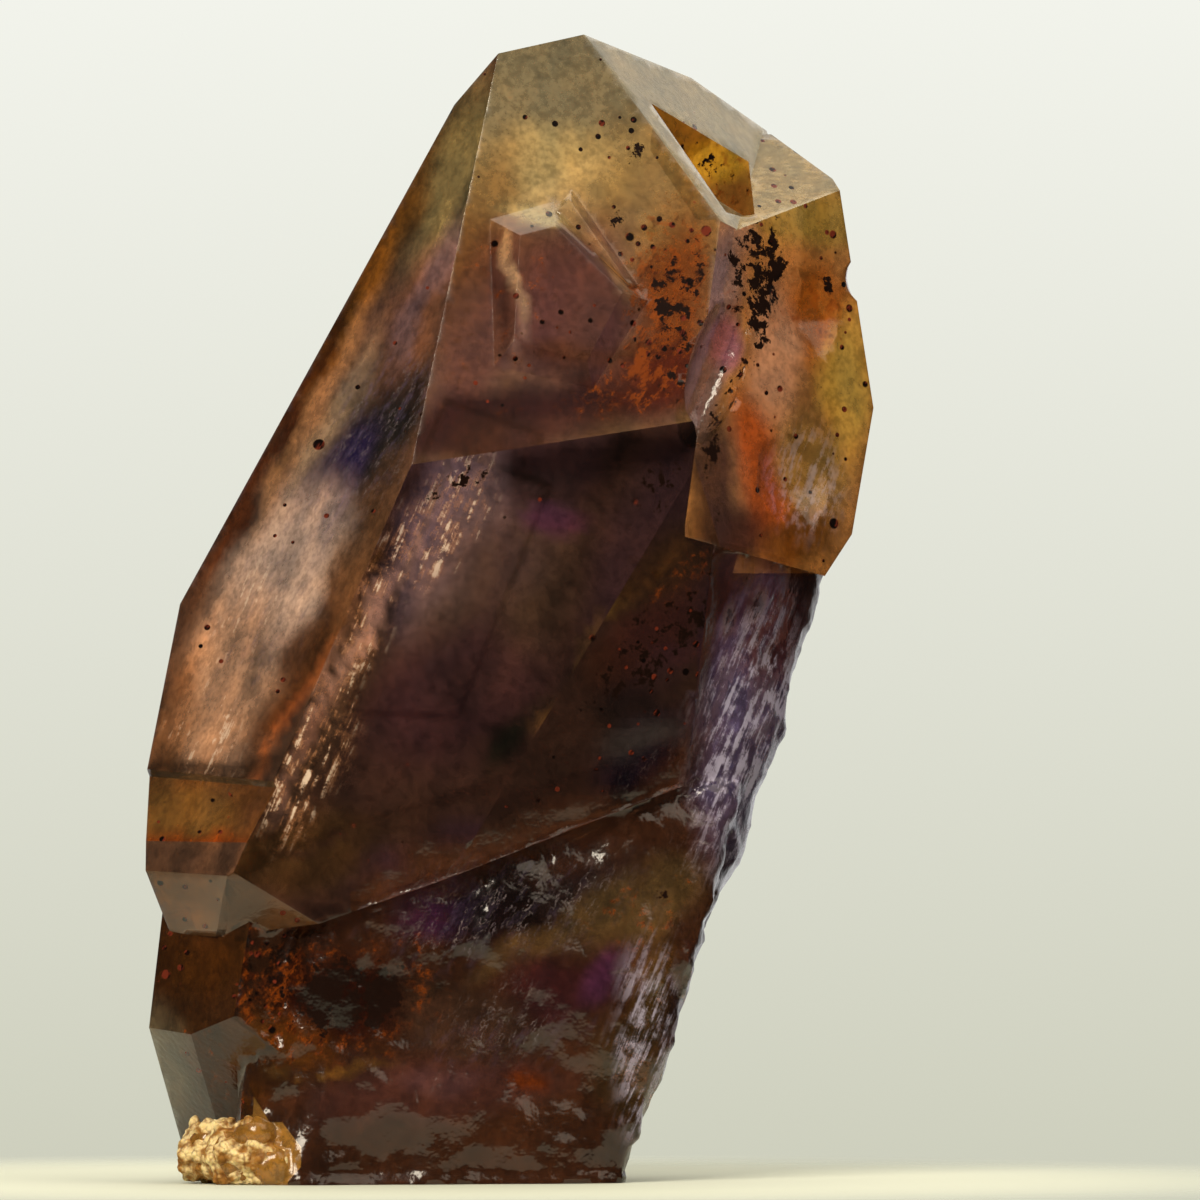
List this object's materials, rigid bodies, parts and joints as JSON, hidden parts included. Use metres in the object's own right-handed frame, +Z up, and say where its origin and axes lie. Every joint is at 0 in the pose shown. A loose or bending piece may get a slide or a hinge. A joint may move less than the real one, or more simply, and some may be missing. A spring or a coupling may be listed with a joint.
{
  "type": "amethyst point",
  "caption": "Natural amethyst point: one solid prismatic quartz crystal with a pointed top, a side crystal on its shoulder, a stepped and broken lower body and a flat cut base to stand on.",
  "frame": {"origin": "middle of the width of the crystal at the flat cut that it stands on", "axes": "+Z up, from the flat cut towards the point; -Y is the front, the side with the large striped face and the raised plate; +X is to the right of that front"},
  "size_m": [0.0382, 0.0245, 0.0601],
  "materials": {
    "smoky_violet_quartz": "glassy, with etched and iron-stained areas"
  },
  "bodies": {
    "root": {"amethyst_point": "smoky_violet_quartz"}
  },
  "joints": []
}
